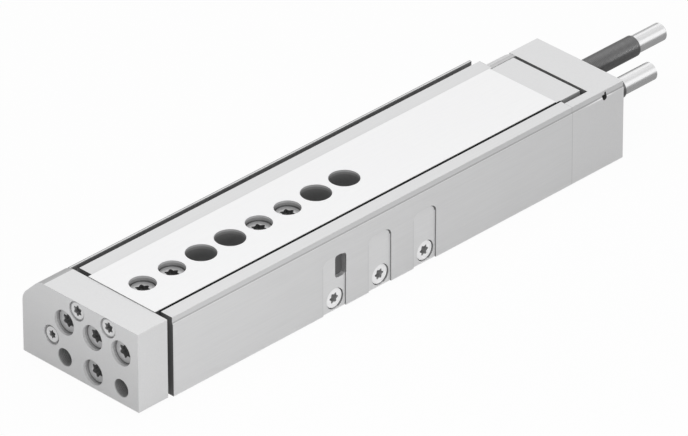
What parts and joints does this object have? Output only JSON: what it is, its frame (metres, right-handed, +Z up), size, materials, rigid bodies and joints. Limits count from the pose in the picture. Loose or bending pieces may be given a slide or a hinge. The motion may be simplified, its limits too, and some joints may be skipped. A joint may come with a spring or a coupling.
{
  "type": "pneumatic slide table",
  "caption": "Pneumatic slide table: a ball-guided table over a built-in cylinder, with a front yoke plate, a side bar, plugged side ports and rear shock absorbers.",
  "frame": {"origin": "centre of the housing's mounting face, with the table drawn back", "axes": "+X along the stroke towards the yoke plate, +Y towards the side with the plugged ports, +Z up out of the table's top"},
  "size_m": [0.4188, 0.0828, 0.046],
  "materials": {
    "anodised_aluminium": "fine matt anodised",
    "hardened_steel": "ground",
    "polished_steel": "polished",
    "cage_brass": "stamped",
    "black_rubber": "matt",
    "band_plastic": "matt",
    "magnet_grey": "sintered",
    "grey_sleeve": "dark turned",
    "plated_plug": "plated",
    "fastener_steel": "plated"
  },
  "bodies": {
    "housing": {"housing": "anodised_aluminium", "rear_cap": "anodised_aluminium", "guide_rail_near": "hardened_steel", "guide_rail_far": "hardened_steel", "preload_screws": "fastener_steel", "rod_bearing": "anodised_aluminium", "rod_seal": "black_rubber", "rod_wiper": "black_rubber", "bearing_o_ring": "black_rubber", "retaining_ring": "fastener_steel", "bore_end_plug": "anodised_aluminium", "end_plug_o_ring": "black_rubber", "rear_cap_screws": "fastener_steel", "cap_ear_screw": "fastener_steel", "port_plugs": "plated_plug", "port_plug_seals": "black_rubber", "stop_post": "fastener_steel", "stop_post_screws": "fastener_steel", "near_damper_sleeve": "grey_sleeve", "near_damper": "polished_steel", "near_damper_spring": "fastener_steel", "sleeve_lock_screw": "fastener_steel"},
    "slide": {"slide_table": "anodised_aluminium", "slide_core": "hardened_steel", "table_rear_block": "anodised_aluminium", "block_screws": "fastener_steel", "table_screws": "fastener_steel", "yoke_plate": "anodised_aluminium", "yoke_screws": "fastener_steel", "yoke_plugs": "plated_plug", "yoke_pins": "fastener_steel", "side_bar": "anodised_aluminium", "bar_screw": "fastener_steel", "piston_rod": "polished_steel", "piston": "anodised_aluminium", "piston_seals": "black_rubber", "piston_guide_band": "band_plastic", "piston_magnet": "magnet_grey", "piston_nut": "fastener_steel", "far_damper_sleeve": "grey_sleeve", "far_damper": "polished_steel", "far_damper_spring": "fastener_steel", "far_adjuster_rod": "polished_steel"},
    "ball_cages": {"ball_cage_near": "cage_brass", "ball_cage_far": "cage_brass", "balls_near": "polished_steel", "balls_far": "polished_steel"},
    "near_pin": {"near_damper_pin": "polished_steel"},
    "far_pin": {"far_damper_pin": "polished_steel"}
  },
  "joints": [
    {"name": "table_slide", "type": "slide", "parent": "housing", "child": "slide", "axis": [1, 0, 0], "range_m": [0, 0.15]},
    {"name": "cage_roll", "type": "slide", "parent": "housing", "child": "ball_cages", "axis": [1, 0, 0], "range_m": [0, 0.075]},
    {"name": "near_pin_push", "type": "slide", "parent": "housing", "child": "near_pin", "axis": [-1, 0, 0], "range_m": [0, 0.006], "stiffness_N_per_m": 500, "springref_m": -0.004},
    {"name": "far_pin_push", "type": "slide", "parent": "slide", "child": "far_pin", "axis": [-1, 0, 0], "range_m": [0, 0.006], "stiffness_N_per_m": 500, "springref_m": -0.004}
  ],
  "couplings": [
    {"joint": "cage_roll", "follows": "table_slide", "ratio": 0.5}
  ]
}
